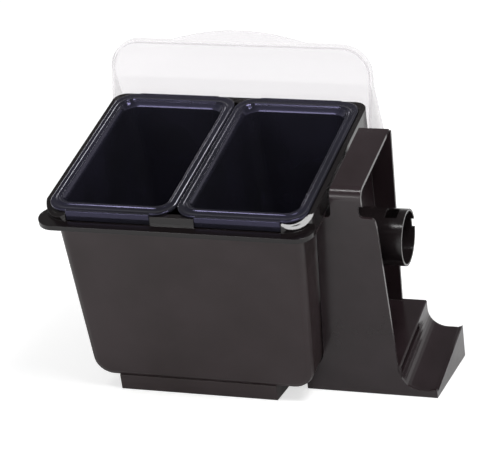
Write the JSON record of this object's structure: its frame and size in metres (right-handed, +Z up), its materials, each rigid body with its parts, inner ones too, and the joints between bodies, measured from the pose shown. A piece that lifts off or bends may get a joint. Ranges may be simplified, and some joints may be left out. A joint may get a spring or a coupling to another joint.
{
  "type": "bar garnish centre",
  "caption": "Leaning black bin with lift-out tinted tubs, a clear roll-back lid on side hinge stubs, and a free-standing side caddy with a shelf, tray and hollow roll tube.",
  "frame": {"origin": "on the table, under the crossing of the two ribs in the foot of the bin's plinth", "axes": "+X to the right seen from the front, towards the caddy; +Y to the back, towards the hinge; +Z up"},
  "size_m": [0.2615, 0.2074, 0.2383],
  "materials": {
    "bin_black": "satin moulded",
    "caddy_black": "satin moulded",
    "tube_black": "satin moulded",
    "tub_tinted": "polished, dark tint",
    "lid_clear": "clear, lightly frosted"
  },
  "bodies": {
    "bin": {"bin": "bin_black"},
    "tub_left": {"tub_left": "tub_tinted"},
    "tub_right": {"tub_right": "tub_tinted"},
    "lid": {"lid": "lid_clear"},
    "caddy": {"caddy": "caddy_black", "roll_tube": "tube_black"}
  },
  "joints": [
    {"name": "tub_left_lift", "type": "slide", "parent": "bin", "child": "tub_left", "axis": [0, -0.2588, 0.9659], "range_m": [0, 0.14]},
    {"name": "tub_right_lift", "type": "slide", "parent": "bin", "child": "tub_right", "axis": [0, -0.2588, 0.9659], "range_m": [0, 0.14]},
    {"name": "lid_hinge", "type": "hinge", "parent": "bin", "child": "lid", "pos_m": [0, -0.00577, 0.11777], "axis": [1, 0, 0], "range_deg": [0, 97.5]},
    {"name": "caddy_slide", "type": "slide", "parent": "bin", "child": "caddy", "axis": [1, 0, 0], "range_m": [0, 0.06]}
  ]
}
